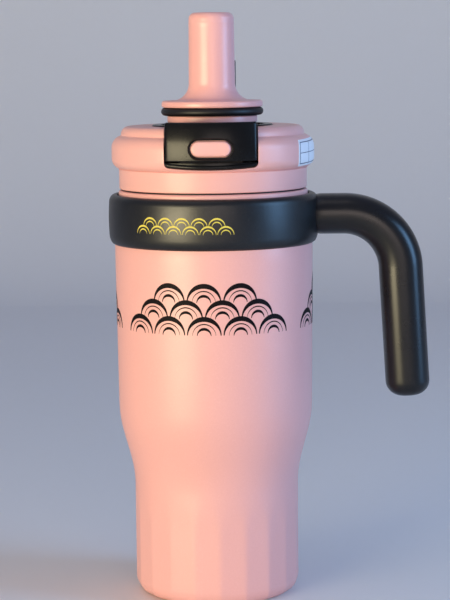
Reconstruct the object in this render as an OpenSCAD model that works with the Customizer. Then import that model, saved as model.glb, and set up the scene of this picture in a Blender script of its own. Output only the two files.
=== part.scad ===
// Insulated steel bottle with a handle collar and a screw lid that carries a pop-up mouthpiece.
// Frame: +Z up, the push button faces -Y, the handle reaches towards +X, origin at the base centre.

/* [Flask] */
// Height of the neck rim above the floor
rim_z = 177; // [172:1:182]
// Outside radius of the straight wall where it starts to narrow
wall_r = 42.25; // [41.5:0.05:42.4]
// Outside radius at the narrow lower part
waist_r = 35.8; // [35.5:0.1:36]
// Height where the narrowing ends
waist_z = 48; // [44:1:52]
// Height where the narrowing starts
taper_z = 84; // [78:1:90]
// Thickness of the outer steel wall
shell_t = 0.8; // [0.6:0.1:0.9]
// Inside radius of the neck
mouth_r = 37.4; // [37.4:0.1:37.6]
// Number of flats round the lower part
flats = 20; // [16:1:24]
// Distance from the axis to each flat
flat_r = 35.5; // [35.4:0.05:35.6]

/* [Collar and handle] */
// Greatest radius of the collar
collar_r = 45.5; // [45:0.1:46]
// Lower edge of the collar
collar_z0 = 153.9; // [153:0.1:155]
// Upper edge of the collar
collar_z1 = 175.2; // [174.6:0.1:175.4]
// Handle thickness in its own plane
grip_t = 19.2; // [18:0.1:20]
// Handle thickness across its plane
grip_w = 22; // [20:0.5:24]
// Radius of the handle's bend, along its middle
bend_r = 24.6; // [22:0.2:26]
// Middle of the straight hanging part, where it leaves the bend
hang_x = 81.2; // [80:0.2:83]
// Outward lean of the hanging part, in degrees
hang_lean = 3.4; // [0:0.2:4]
// Length of the hanging part
hang_l = 56.4; // [50:0.2:64]

/* [Lid] */
// Radius of the lid's skirt
skirt_r = 40.55; // [40.4:0.05:40.7]
// Radius of the lid's bulged ring
bulge_r = 43.7; // [43.5:0.1:43.8]
// Radius of the raised top ring
top_r = 39.55; // [39.2:0.05:39.8]
// Top of the raised ring
lid_top_z = 204.4; // [204.2:0.1:204.6]
// Width of the front housing
panel_w = 38.4; // [37.6:0.2:38.8]

/* [Mouthpiece] */
// Top of the mouthpiece when it is up
spout_z = 252.6; // [246:0.2:254]
// Radius of the upper flange
flange_r = 21.8; // [21.4:0.1:21.9]
// Radius of the black seal ring
seal_r = 22.1; // [21.9:0.05:22.15]
// Bore of the mouthpiece
bore_r = 6.2; // [5.8:0.1:6.3]
// Radius of the mouthpiece's stem
stem_r = 8.5; // [8.4:0.05:8.5]

/* [Hidden] */
$fn = 96;
pink = [0.93, 0.62, 0.60];
black = [0.10, 0.10, 0.11];
steel = [0.75, 0.76, 0.78];

// Gap left at round seams between two solids of one rigid piece
seam = 0.03;

// Flask
foot_fillet = 6.6;
foot_r = 36 - foot_fillet;
foot_hole_r = foot_r - 1;
neck_r = 40.9;
collar_seat_r = 42.95;
seat_z = collar_z0 + 3;
neck_z = seat_z + 4;
weld_r = 38.9;
inner_t = 0.6;
inner_floor_z = 8;
inner_low_r = mouth_r - 6;
lug_angle = 78;

// Handle path: arm along X, a bend about Y, then the hanging part
arm_z = 165.5;
bend_x = hang_x - bend_r;
core_t = 11.6;
core_w = 14;
core_corner = 3;
arm_x0 = 46.2;

// Lid stack
skirt_z = rim_z + 0.6;
bulge_z0 = 186.1;
bulge_z1 = 200.5;
lid_t = 2;
panel_r = 43.9;
panel_z0 = 190.9;
panel_z1 = 207;
cavity_z1 = 201.6;
trim_z0 = 187.6;
well_r = 22.4;
well_out_r = 24;
well_floor_z = 192.5;
well_floor_t = 2;
deck_r = 26;
deck_z = 205;
liner_z0 = 160;
liner_r = 35.6;
liner_t = 1.7;
tube_r = 9.35;
tube_out_r = 10.9;
tube_top_z = 188.5;
socket_z = 147;
straw_r = 4.6;
straw_bore_r = 3.8;
pop_travel = 10;
stem_z0 = 180;
plate_z0 = 189.7;
plate_t = 2;
button_w = 16.7;
button_h = 6.5;
button_z = 196.1;
button_travel = 2;
spring_wall_y = -24.9;
latch_y0 = -37.9;
latch_arm_t = 2;
pin_y = 31.5;
pin_z = 206.7;
pin_r = 1.25;
loop_w = 20.2;
loop_t = 4;
loop_top_z = 232.8;
loop_corner = 1.2;
ear_x = 12.3;
ear_t = 3.6;

// Points on an arc in the radius-height plane
function arc(cx, cz, r, a0, a1, n = 6) =
    [for (i = [0 : n]) [cx + r * cos(a0 + (a1 - a0) * i / n), cz + r * sin(a0 + (a1 - a0) * i / n)]];

// Outside radius of the flask between the foot and the neck
function ease(u) = (1 - cos(180 * u)) / 2;
function flask_r(z) =
    z < waist_z ? 36 - (36 - waist_r) * z / waist_z :
    z < taper_z ? waist_r + (wall_r - waist_r) * ease((z - waist_z) / (taper_z - waist_z)) :
    z < seat_z ? wall_r + (collar_seat_r - wall_r) * (z - taper_z) / (seat_z - taper_z) :
    neck_r;

function inner_r(z) =
    z < waist_z ? inner_low_r :
    z < taper_z ? inner_low_r + (mouth_r - inner_low_r) * ease((z - waist_z) / (taper_z - waist_z)) :
    mouth_r;

taper_heights = [for (i = [0 : 10]) waist_z + (taper_z - waist_z) * i / 10];

function rounded_box(w, h, r, n = 5) =
    concat(arc(w / 2 - r, h / 2 - r, r, 0, 90, n), arc(r - w / 2, h / 2 - r, r, 90, 180, n),
           arc(r - w / 2, r - h / 2, r, 180, 270, n), arc(w / 2 - r, r - h / 2, r, 270, 360, n));

// Front panel with its lip: upright sides, round lower corners and an arched lower edge
function panel_outline(grow) =
    let (half = panel_w / 2, corner = 1.95, corner_z = trim_z0 + 2.76, sag_r = 180, sag_a = 5.5)
    concat([[half + grow, 220], [-half - grow, 220]],
           arc(corner - half, corner_z, corner + grow, 180, 265, 4),
           arc(0, trim_z0 + sag_r, sag_r + grow, 270 - sag_a, 270 + sag_a, 8),
           arc(half - corner, corner_z, corner + grow, 275, 360, 4));

// A slice of a solid in front of the axis: |x| below half the width, y on the front side
module front_block(w, z0, z1, y0 = 60, y1 = 0) {
    translate([-w / 2, -y0, z0])
        cube([w, y0 - y1, z1 - z0]);
}

// Prism of a 2D outline drawn in X and Z, running from y0 to y1
module along_y(y0, y1) {
    translate([0, y1, 0])
        rotate([90, 0, 0])
            linear_extrude(y1 - y0)
                children();
}

// Round wire coil about Z from height 0 to h
module coil(r, wire, h, turns) {
    steps = 20;
    sides = 6;
    n = turns * steps;
    rise = (h - wire) / turns / steps;
    function ring(i) =
        [for (s = [0 : sides - 1])
            let (a = 360 * i / steps, b = 360 * s / sides, q = r + wire / 2 * cos(b))
            [q * cos(a), q * sin(a), wire / 2 + rise * i + wire / 2 * sin(b)]];
    points = [for (i = [0 : n]) each ring(i)];
    walls = [for (i = [0 : n - 1]) for (s = [0 : sides - 1])
        let (k = i * sides, t = (s + 1) % sides)
        [k + s, k + sides + s, k + sides + t, k + t]];
    first = [for (s = [0 : sides - 1]) s];
    last = [for (s = [sides - 1 : -1 : 0]) n * sides + s];
    polyhedron(points, concat(walls, [first, last]), convexity = 8);
}

// One rounded cross-section carried along the arm, round the bend and down the hanging part
module handle_sweep(t, w, corner, x0, length) {
    section = rounded_box(t, w, corner);
    translate([x0, 0, arm_z])
        rotate([0, 90, 0])
            linear_extrude(bend_x - x0)
                polygon(section);
    translate([bend_x, 0, arm_z - bend_r]) {
        rotate([90, -hang_lean, 0])
            rotate_extrude(angle = 90 - hang_lean)
                translate([bend_r, 0])
                    polygon(section);
        rotate([0, -hang_lean, 0])
            translate([bend_r, 0, -length])
                linear_extrude(length)
                    polygon(section);
    }
}

module outer_shell() {
    outside = concat(arc(foot_r, foot_fillet, foot_fillet, 270, 360, 7),
                     [[flask_r(30), 30]],
                     [for (z = taper_heights) [flask_r(z), z]],
                     [[collar_seat_r, seat_z], [neck_r, neck_z]],
                     arc(neck_r - 1, rim_z - 1, 1, 0, 90, 4));
    inside = concat([[weld_r, rim_z], [weld_r, rim_z - shell_t], [neck_r - shell_t, rim_z - shell_t - 1],
                     [neck_r - shell_t, neck_z], [collar_seat_r - shell_t, seat_z]],
                    [for (i = [10 : -1 : 0]) [flask_r(taper_heights[i]) - shell_t, taper_heights[i]]],
                    [[flask_r(30) - shell_t, 30]],
                    arc(foot_r, foot_fillet, foot_fillet - shell_t, 360, 270, 7));
    flat_section = [[flat_r, -1], [flat_r, 36], [flat_r + 0.15, 40], [flat_r + 0.5, 46], [60, 46], [60, -1]];
    color(pink)
        difference() {
            rotate_extrude()
                polygon(concat(outside, inside, [[foot_hole_r, shell_t], [foot_hole_r, 0]]));
            for (i = [0 : flats - 1])
                rotate([0, 0, 3 + 360 / flats * (i + 0.5)])
                    along_y(-10, 10)
                        polygon(flat_section);
        }
}

module inner_flask() {
    low = inner_low_r;
    outside = concat([[0, inner_floor_z]],
                     arc(low + inner_t - 8, inner_floor_z + 8, 8, 270, 360, 6),
                     [for (z = taper_heights) [inner_r(z) + inner_t, z]],
                     [[mouth_r + inner_t, rim_z - shell_t], [weld_r - seam, rim_z - shell_t],
                      [weld_r - seam, rim_z],
                      [mouth_r + 0.4, rim_z], [mouth_r, rim_z - 0.4]]);
    inside = concat([for (i = [10 : -1 : 0]) [inner_r(taper_heights[i]), taper_heights[i]]],
                    arc(low + inner_t - 8, inner_floor_z + 8, 8 - inner_t, 360, 270, 6),
                    [[0, inner_floor_z + inner_t]]);
    color(steel)
        union() {
            rotate_extrude()
                polygon(concat(outside, inside));
            for (k = [0 : 2])
                rotate([0, 0, 120 * k + 20])
                    rotate_extrude(angle = lug_angle)
                        polygon([[mouth_r + 0.3, 167], [36.8, 167.8], [36.8, 168.6], [mouth_r + 0.3, 169.4]]);
        }
}

module shell_bottom() {
    color(steel)
        difference() {
            translate([0, 0, shell_t])
                cylinder(r = foot_r, h = shell_t);
            translate([0, 0, shell_t - 1])
                cylinder(r = 1.5, h = shell_t + 2);
        }
}

module base_plate() {
    color(steel)
        rotate_extrude()
            polygon([[0, 0], [foot_hole_r - 0.45, 0], [foot_hole_r - 0.05, 0.4],
                     [foot_hole_r - 0.05, shell_t], [0, shell_t]]);
}

module vacuum_plug() {
    color([0.5, 0.5, 0.48])
        rotate_extrude()
            polygon(concat([[0, shell_t], [1.45, shell_t], [1.45, 2 * shell_t], [3, 2 * shell_t]],
                           arc(0, 2 * shell_t - 3.4, 4.534, 48.6, 90, 4)));
}

module getter() {
    color([0.35, 0.35, 0.36])
        translate([15, 0, 2 * shell_t])
            cylinder(r = 5, h = 1.2);
}

module handle_frame() {
    crown = 2.2;
    crown_x = collar_r - 0.7 - crown;
    mid = (collar_z0 + collar_z1) / 2;
    outside = concat(arc(crown_x, collar_z0 + crown, crown, 290, 352, 5),
                     [[collar_r, mid]],
                     arc(crown_x, collar_z1 - crown, crown, 8, 70, 5));
    inside = [[41.6, collar_z1], [41.6, neck_z + 0.3], [collar_seat_r + 0.05, seat_z + 0.3],
              [collar_seat_r + 0.05, collar_z0]];
    color(black)
        union() {
            rotate_extrude()
                polygon(concat(outside, inside));
            translate([collar_r - 1.6, -core_w / 2, arm_z - core_t / 2])
                cube([arm_x0 - collar_r + 1.6, core_w, core_t]);
            handle_sweep(core_t, core_w, core_corner, arm_x0, hang_l - 8);
        }
}

module handle_grip() {
    color([0.13, 0.13, 0.14])
        difference() {
            handle_sweep(grip_t, grip_w, 5.5, collar_r - 2.5, hang_l);
            handle_sweep(core_t + 2 * seam, core_w + 2 * seam, core_corner + seam, arm_x0 - 0.1,
                         hang_l - 8 + seam);
            // Square root of the arm, and the round face of the collar
            translate([collar_r - 3, -core_w / 2 - seam, arm_z - core_t / 2 - seam])
                cube([arm_x0 - collar_r + 3 + seam, core_w + 2 * seam, core_t + 2 * seam]);
            cylinder(r = collar_r + seam, h = rim_z);
        }
}

module collar_liner() {
    color([0.2, 0.2, 0.2])
        rotate_extrude()
            polygon([[neck_r, 163], [41.6, 163], [41.6, collar_z1 - 1.2], [neck_r, collar_z1 - 1.2]]);
}

module mouth_gasket() {
    color([0.12, 0.12, 0.12])
        rotate_extrude()
            polygon([[mouth_r + 0.5, rim_z], [39.6, rim_z], [39.6, skirt_z], [mouth_r + 0.5, skirt_z]]);
}

module straw() {
    color([0.92, 0.92, 0.92, 0.6])
        difference() {
            translate([0, 0, 12.5])
                cylinder(r = straw_r, h = 159 - 12.5);
            translate([0, 0, 12])
                cylinder(r = straw_bore_r, h = 150);
        }
}

module lid_shell() {
    inner_top_r = deck_r + 0.3;
    ring_corner = 3.4;
    outside = concat([[skirt_r - 0.5, skirt_z], [skirt_r, skirt_z + 0.5], [skirt_r, bulge_z0 - 0.6]],
                     arc(bulge_r - 4, bulge_z0 + 4, 4, 280, 360, 6),
                     arc(bulge_r - 5, bulge_z1 - 5, 5, 0, 78, 6),
                     [[top_r, bulge_z1 + 0.3]],
                     arc(top_r - ring_corner, lid_top_z - ring_corner, ring_corner, 0, 90, 5));
    inside = concat([[inner_top_r, lid_top_z], [inner_top_r, lid_top_z - lid_t]],
                    [[top_r - lid_t - 1, lid_top_z - lid_t], [top_r - lid_t, bulge_z1 - 1]],
                    [[bulge_r - lid_t - 1.4, bulge_z1 - 3.5], [bulge_r - lid_t, bulge_z1 - 6],
                     [bulge_r - lid_t, bulge_z0 + 4], [bulge_r - lid_t - 1.8, bulge_z0 + 2],
                     [skirt_r - lid_t, bulge_z0 + 1]],
                    [[skirt_r - lid_t, skirt_z]]);
    color(pink)
        difference() {
            rotate_extrude()
                polygon(concat(outside, inside));
            along_y(-60, -16)
                polygon(panel_outline(0.4));
            translate([-15.3, 20, 197])
                cube([30.6, 16.9, 20]);
        }
}

module lid_foam() {
    color([0.95, 0.94, 0.9])
        difference() {
            translate([0, 0, liner_z0 + 2])
                cylinder(r = liner_r - liner_t, h = 25);
            translate([0, 0, liner_z0])
                cylinder(r = tube_out_r, h = 40);
            translate([22, 0, liner_z0])
                cylinder(r = 3.5, h = 40);
        }
}

module lid_liner() {
    wall_in = liner_r - liner_t;
    flange_out = skirt_r - lid_t - seam;
    color([0.16, 0.16, 0.17])
        difference() {
            union() {
                rotate_extrude()
                    polygon([[straw_r, socket_z], [straw_r + 1.9, socket_z], [straw_r + 1.9, liner_z0],
                             [liner_r - 0.8, liner_z0], [liner_r, liner_z0 + 0.8],
                             [liner_r, skirt_z], [flange_out, skirt_z], [flange_out, skirt_z + 2],
                             [wall_in, skirt_z + 2], [wall_in, liner_z0 + 2], [tube_out_r, liner_z0 + 2],
                             [tube_out_r, tube_top_z], [tube_r, tube_top_z], [tube_r, liner_z0 + 2],
                             [3.9, liner_z0 + 2], [3.9, liner_z0], [straw_r, liner_z0 - 0.7]]);
                for (k = [0 : 2])
                    rotate([0, 0, 120 * k + 20])
                        rotate_extrude(angle = lug_angle)
                            polygon([[liner_r - 0.3, 164.4], [36.5, 165.2], [36.5, 166], [liner_r - 0.3, 166.8]]);
            }
            translate([22, 0, liner_z0 - 1])
                cylinder(r = 2, h = 4);
        }
}

module lid_insert() {
    guide_w = button_w + 0.6;
    guide_h = button_h + 0.6;
    half_guide = (guide_w - guide_h) / 2;
    flange_room_y = 41.4;
    cavity_y = 38.6;
    color(black)
        difference() {
            union() {
                rotate_extrude()
                    polygon([[stem_r + 0.4, well_floor_z], [well_out_r, well_floor_z], [well_out_r, 203],
                             [deck_r, 203], [deck_r, deck_z - 0.4], [deck_r - 0.4, deck_z],
                             [well_r, deck_z], [well_r, well_floor_z + well_floor_t],
                             [stem_r + 0.4, well_floor_z + well_floor_t]]);
                // Front housing: its roof falls from the front edge to the deck
                intersection() {
                    rotate_extrude()
                        polygon([[well_out_r - 0.8, panel_z0], [panel_r, panel_z0], [panel_r, panel_z1],
                                 [panel_r - 2.5, panel_z1], [deck_r, deck_z - 0.2],
                                 [well_out_r - 0.8, deck_z - 0.2]]);
                    front_block(panel_w, panel_z0 - 1, panel_z1 + 1);
                }
                difference() {
                    translate([-15, 20, 197.4])
                        cube([30, 16.5, 5.8]);
                    translate([0, 0, 190])
                        cylinder(r = well_out_r - 0.8, h = 30);
                }
                for (side = [-1, 1])
                    translate([side * ear_x - ear_t / 2, pin_y - 3.2, 202])
                        cube([ear_t, 6.4, 7.9]);
            }
            // Room for the button's flange, then the cavity of the latch arm, both open below
            front_block(21.6, panel_z0 - 1, cavity_z1, flange_room_y, cavity_y - 1);
            front_block(30, panel_z0 - 1, cavity_z1, cavity_y, -spring_wall_y);
            // Way for the latch plate under the well
            front_block(30, panel_z0 - 1, plate_z0 + plate_t + 0.3, cavity_y, 12);
            // Pill-shaped guide through the front wall
            along_y(-60, -40) {
                translate([0, button_z])
                    square([2 * half_guide, guide_h], center = true);
                for (side = [-1, 1])
                    translate([side * half_guide, button_z])
                        circle(d = guide_h);
            }
            // Seats of the loop's pin
            translate([-15, pin_y, pin_z])
                rotate([0, 90, 0])
                    cylinder(r = pin_r, h = 30);
        }
}

module front_trim() {
    color(black)
        intersection() {
            rotate_extrude()
                polygon([[41.8, trim_z0 + 0.3], [43.6, trim_z0], [44.1, trim_z0 + 0.5],
                         [44.1, 189.6], [43.4, 190.3], [41.8, 190.3]]);
            along_y(-60, -20)
                polygon(panel_outline(0));
        }
}

module valve_pin() {
    foot_z = liner_z0 + 2;
    color([0.9, 0.9, 0.88])
        difference() {
            rotate_extrude()
                polygon([[0, foot_z], [tube_r - 0.05, foot_z], [tube_r - 0.05, foot_z + 1.5],
                         [2.2, foot_z + 1.5], [2.2, foot_z + 6], [3.9, foot_z + 7.5],
                         [3.9, foot_z + 10], [2.4, foot_z + 11.5], [0, foot_z + 11.5]]);
            for (k = [0 : 3])
                rotate([0, 0, 90 * k])
                    translate([4.6, 0, foot_z - 1])
                        cylinder(r = 1.7, h = 4);
        }
}

module vent_valve() {
    color([0.85, 0.85, 0.85])
        translate([22, 0, 0])
            rotate_extrude()
                polygon([[0, liner_z0 - 4], [0.7, liner_z0 - 4], [1.9, liner_z0 - 0.9], [3, liner_z0 - 0.9],
                         [3, liner_z0], [1.9, liner_z0], [1.9, liner_z0 + 2], [2.8, liner_z0 + 2],
                         [2.8, liner_z0 + 2.8], [0, liner_z0 + 2.8]]);
}

module popup_spring() {
    color(steel)
        translate([0, 0, liner_z0 + 3.5])
            coil(8, 1, stem_z0 - liner_z0 - 3.5, 5);
}

module mouthpiece() {
    flare = 7.3;
    root = 10;
    lip = 9.7;
    lip_round = 2.8;
    groove_z = plate_z0 + pop_travel - 0.5;
    color(pink)
        rotate_extrude()
            polygon(concat([[4, stem_z0], [7.6, stem_z0], [stem_r, stem_z0 + 0.9], [stem_r, 182.2],
                            [7.6, 182.2], [7.6, 184.2], [stem_r, 184.2], [stem_r, groove_z],
                            [7.2, groove_z], [7.2, groove_z + 3], [stem_r, groove_z + 4], [stem_r, 205.7],
                            [19, 205.7], [19.4, 206.1], [19.4, 208.2], [19, 208.6],
                            [18.5, 208.6], [18.5, 212.3], [flange_r - 0.4, 212.3],
                            [flange_r, 212.7], [flange_r, 214.3], [flange_r - 0.6, 215.1]],
                           arc(root + flare, 215.1 + flare, flare, 270, 180, 6),
                           [[lip + 0.05, 248.1], [lip, 248.3]],
                           arc(lip - lip_round, spout_z - lip_round, lip_round, 0, 90, 5),
                           [[bore_r + 0.5, spout_z], [bore_r, spout_z - 0.5], [bore_r, 183.5], [4, 182]]));
}

module plug_seal() {
    color(black)
        rotate_extrude()
            polygon(concat([[18.5 + seam, 208.7]],
                           arc(seal_r - 1.7, 210.45, 1.7, 270, 450, 10),
                           [[18.5 + seam, 212.2]]));
}

module stem_ring() {
    color(black)
        rotate_extrude()
            polygon(arc(8.45, 183.2, 0.84, 0, 330, 11));
}

module button() {
    half = (button_w - button_h) / 2;
    color(pink)
        union() {
            along_y(-43.2, latch_y0) {
                translate([0, button_z])
                    square([2 * half, button_h], center = true);
                for (side = [-1, 1])
                    translate([side * half, button_z])
                        circle(d = button_h);
            }
            translate([-10, -40.9, button_z - 4])
                cube([20, 1.2, 8]);
        }
}

module latch_plate() {
    window_y = stem_r + 0.6 + button_travel;
    color([0.2, 0.2, 0.2])
        union() {
            translate([-6, latch_y0, plate_z0])
                cube([12, latch_arm_t, 9.3]);
            difference() {
                translate([-13, latch_y0, plate_z0])
                    cube([26, 16 - latch_y0, plate_t]);
                translate([-stem_r - 0.5, -window_y, plate_z0 - 1])
                    cube([2 * stem_r + 1, window_y, plate_t + 2]);
                translate([0, 0, plate_z0 - 1])
                    cylinder(r = stem_r + 0.5, h = plate_t + 2);
            }
        }
}

module button_spring() {
    color(steel)
        translate([0, spring_wall_y, button_z])
            rotate([90, 0, 0])
                coil(2.4, 0.6, spring_wall_y - latch_y0 - latch_arm_t, 6);
}

module carry_loop() {
    half = loop_w / 2;
    outline = concat([[half, pin_z]],
                     arc(half - loop_corner, loop_top_z - loop_corner, loop_corner, 0, 90, 4),
                     arc(loop_corner - half, loop_top_z - loop_corner, loop_corner, 90, 180, 4),
                     [[-half, pin_z]]);
    gap = concat(arc(4.5, 225, 2.5, 0, 90, 4), arc(-4.5, 225, 2.5, 90, 180, 4),
                 arc(-4.5, 214, 2.5, 180, 270, 4), arc(4.5, 214, 2.5, 270, 360, 4));
    color(black)
        difference() {
            union() {
                along_y(pin_y - loop_t / 2, pin_y + loop_t / 2)
                    polygon(outline);
                translate([-half, pin_y, pin_z])
                    rotate([0, 90, 0])
                        cylinder(r = 2.9, h = loop_w);
            }
            along_y(pin_y - loop_t, pin_y + loop_t)
                polygon(gap);
            translate([-loop_w, pin_y, pin_z])
                rotate([0, 90, 0])
                    cylinder(r = pin_r + 0.05, h = 2 * loop_w);
        }
}

module loop_pin() {
    half_l = ear_x + ear_t / 2 - 0.2;
    color(steel)
        translate([-half_l, pin_y, pin_z])
            rotate([0, 90, 0])
                cylinder(r = pin_r, h = 2 * half_l);
}

outer_shell();
inner_flask();
shell_bottom();
base_plate();
vacuum_plug();
getter();
handle_frame();
handle_grip();
collar_liner();
mouth_gasket();
straw();
lid_shell();
lid_foam();
lid_liner();
lid_insert();
front_trim();
valve_pin();
vent_valve();
popup_spring();
mouthpiece();
plug_seal();
stem_ring();
button();
latch_plate();
button_spring();
carry_loop();
loop_pin();
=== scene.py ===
"""Looks of the insulated bottle: refined meshes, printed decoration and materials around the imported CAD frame.

Lengths are in millimetres in the row frame (+Z up along the axis, button towards -Y, handle towards +X) and
become metres when a mesh is made. Outlines are (radius, height), with a corner radius where filleted() is used.
"""

import math

import bmesh
import bpy
import numpy as np
from mathutils import Matrix, Vector


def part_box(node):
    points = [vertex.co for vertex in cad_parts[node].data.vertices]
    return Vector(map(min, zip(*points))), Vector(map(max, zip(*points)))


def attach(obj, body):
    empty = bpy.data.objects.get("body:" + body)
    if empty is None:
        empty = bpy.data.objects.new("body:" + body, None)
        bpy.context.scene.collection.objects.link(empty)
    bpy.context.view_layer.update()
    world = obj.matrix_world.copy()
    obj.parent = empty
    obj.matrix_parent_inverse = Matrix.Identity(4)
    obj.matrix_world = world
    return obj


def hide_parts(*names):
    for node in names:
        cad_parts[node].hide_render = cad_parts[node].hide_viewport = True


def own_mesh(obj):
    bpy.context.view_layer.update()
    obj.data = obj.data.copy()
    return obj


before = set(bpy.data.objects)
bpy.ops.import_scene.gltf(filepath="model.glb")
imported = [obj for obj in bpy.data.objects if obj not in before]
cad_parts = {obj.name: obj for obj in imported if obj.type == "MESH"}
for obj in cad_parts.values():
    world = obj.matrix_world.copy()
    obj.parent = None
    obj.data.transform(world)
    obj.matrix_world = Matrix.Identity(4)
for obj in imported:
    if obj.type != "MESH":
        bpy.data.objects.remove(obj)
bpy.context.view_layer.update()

MM = 0.001
ROUND_STEPS = 192


def node_mm(node):
    """Lowest and highest corner of a CAD node, in millimetres."""
    low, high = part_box(node)
    return [v / MM for v in low], [v / MM for v in high]


# ---------------------------------------------------------------- sizes taken from the frame

COLLAR_LOW, COLLAR_HIGH = node_mm("handle_frame")
COLLAR_TOP = COLLAR_HIGH[2]
COLLAR_R = -COLLAR_LOW[1]
GRIP_LOW, GRIP_HIGH = node_mm("handle_grip")
LID_LOW, LID_HIGH = node_mm("lid_shell")
BUTTON_LOW, BUTTON_HIGH = node_mm("button")
BUTTON_Z = (BUTTON_LOW[2] + BUTTON_HIGH[2]) / 2
RIM_Z = node_mm("outer_shell")[1][2]
SPOUT_TOP = node_mm("mouthpiece")[1][2]
LOOP_HIGH = node_mm("carry_loop")[1]
SEAL_R = node_mm("plug_seal")[1][0]


# ---------------------------------------------------------------- sizes that several pieces share

FOOT_R, FOOT_FILLET = 36.0, 6.6
WAIST_R, WAIST_Z = 35.8, 48.0
WALL_R, TAPER_Z = 42.25, 84.0
SEAT_R, SEAT_Z = 42.95, 156.9
NECK_R = 40.9
FLAT_R, FLATS, FLAT_TURN = 35.5, 20, 3.0
COLLAR_BOTTOM, COLLAR_LOW_EDGE, COLLAR_HIGH_EDGE = 153.9, 4.2, 2.8
BULGE_R = 43.7
BULGE_HIGH_Z, BULGE_HIGH_EDGE = 195.35, 5.2
BULGE_LOW_Z, BULGE_LOW_EDGE = 190.75, 4.6
PANEL_HALF, PANEL_CORNER, PANEL_CORNER_Z = 19.2, 1.95, 190.36
HOUSING_R = 43.85
BUTTON_W, BUTTON_H = 16.7, 6.5
LOOP_Y = 31.5


# ---------------------------------------------------------------- mesh tools

def make_mesh(name, verts, faces, sharp_deg=32):
    """An object from vertices in millimetres, smooth shaded up to an angle between faces."""
    mesh = bpy.data.meshes.new(name)
    mesh.from_pydata([tuple(c * MM for c in v) for v in verts], [], faces)
    bm = bmesh.new()
    bm.from_mesh(mesh)
    bmesh.ops.remove_doubles(bm, verts=bm.verts, dist=1e-7)
    bmesh.ops.recalc_face_normals(bm, faces=bm.faces)
    bm.to_mesh(mesh)
    bm.free()
    obj = bpy.data.objects.new(name, mesh)
    bpy.context.collection.objects.link(obj)
    shade(obj, sharp_deg)
    return obj


def shade(obj, sharp_deg=32):
    obj.data.polygons.foreach_set("use_smooth", [True] * len(obj.data.polygons))
    obj.data.set_sharp_from_angle(angle=math.radians(sharp_deg))
    obj.data.update()


def arc(cx, cz, r, a0, a1, n=8):
    """Points on an arc, angles in degrees."""
    return [(cx + r * math.cos(math.radians(a0 + (a1 - a0) * i / n)),
             cz + r * math.sin(math.radians(a0 + (a1 - a0) * i / n))) for i in range(n + 1)]


def filleted(points, segments=6):
    """A closed outline with each corner rounded by its own radius: points are (x, z, radius)."""
    out = []
    count = len(points)
    for i, (x, z, r) in enumerate(points):
        here = np.array([x, z], float)
        before = np.array(points[i - 1][:2], float) - here
        after = np.array(points[(i + 1) % count][:2], float) - here
        len_b, len_a = np.linalg.norm(before), np.linalg.norm(after)
        if r <= 0 or len_b < 1e-6 or len_a < 1e-6:
            out.append(tuple(here))
            continue
        ub, ua = before / len_b, after / len_a
        half = math.acos(float(np.clip(ub @ ua, -1, 1))) / 2
        if half > math.pi / 2 - 0.02:
            out.append(tuple(here))
            continue
        reach = min(r / math.tan(half), 0.49 * len_b, 0.49 * len_a)
        r = reach * math.tan(half)
        centre = here + (ub + ua) / np.linalg.norm(ub + ua) * (r / math.sin(half))
        start, end = here + ub * reach - centre, here + ua * reach - centre
        sweep = math.atan2(start[0] * end[1] - start[1] * end[0], start @ end)
        for k in range(segments + 1):
            a = sweep * k / segments
            c, s = math.cos(a), math.sin(a)
            out.append((centre[0] + c * start[0] - s * start[1], centre[1] + s * start[0] + c * start[1]))
    return out


def lathe(name, outline, steps=ROUND_STEPS, shape=None, sharp_deg=32):
    """Turns a closed outline of (radius, height) about Z. shape(r, z, angle) may change a radius."""
    verts = []
    for k in range(steps):
        a = 2 * math.pi * k / steps
        for r, z in outline:
            q = shape(r, z, a) if shape else r
            verts.append((q * math.sin(a), -q * math.cos(a), z))
    n = len(outline)
    faces = []
    for k in range(steps):
        for i in range(n):
            j, m = (i + 1) % n, (k + 1) % steps
            if outline[i][0] < 1e-6 and outline[j][0] < 1e-6:
                continue
            faces.append((k * n + i, k * n + j, m * n + j, m * n + i))
    return make_mesh(name, verts, faces, sharp_deg)


def loft(name, rings, closed=False, sharp_deg=32):
    """Joins rings of equally many 3D points; the first and last are capped unless the loft is closed."""
    n = len(rings[0])
    verts = [p for ring in rings for p in ring]
    faces = []
    count = len(rings)
    for k in range(count if closed else count - 1):
        m = (k + 1) % count
        for i in range(n):
            j = (i + 1) % n
            faces.append((k * n + i, k * n + j, m * n + j, m * n + i))
    if not closed:
        faces.append(tuple(range(n)))
        faces.append(tuple((count - 1) * n + i for i in range(n)))
    return make_mesh(name, verts, faces, sharp_deg)


def apply_modifiers(obj):
    graph = bpy.context.evaluated_depsgraph_get()
    mesh = bpy.data.meshes.new_from_object(obj.evaluated_get(graph))
    obj.modifiers.clear()
    obj.data = mesh


def cut(obj, *cutters):
    """Takes the cutters' solids out of the object, and deletes the cutters."""
    for cutter in cutters:
        mod = obj.modifiers.new("cut", "BOOLEAN")
        mod.operation = "DIFFERENCE"
        mod.solver = "EXACT"
        mod.object = cutter
        apply_modifiers(obj)
        bpy.data.objects.remove(cutter)


def bevel(obj, width_mm, segments=2, angle=40):
    mod = obj.modifiers.new("edge", "BEVEL")
    mod.width = width_mm * MM
    mod.segments = segments
    mod.limit_method = "ANGLE"
    mod.angle_limit = math.radians(angle)
    mod.use_clamp_overlap = True
    apply_modifiers(obj)
    shade(obj)


def merge(name, objects):
    """One object that holds the meshes of several, each left as its own closed shell."""
    bm = bmesh.new()
    for o in objects:
        bm.from_mesh(o.data)
        bpy.data.objects.remove(o)
    mesh = bpy.data.meshes.new(name)
    bm.to_mesh(mesh)
    bm.free()
    obj = bpy.data.objects.new(name, mesh)
    bpy.context.collection.objects.link(obj)
    shade(obj)
    return obj


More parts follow.
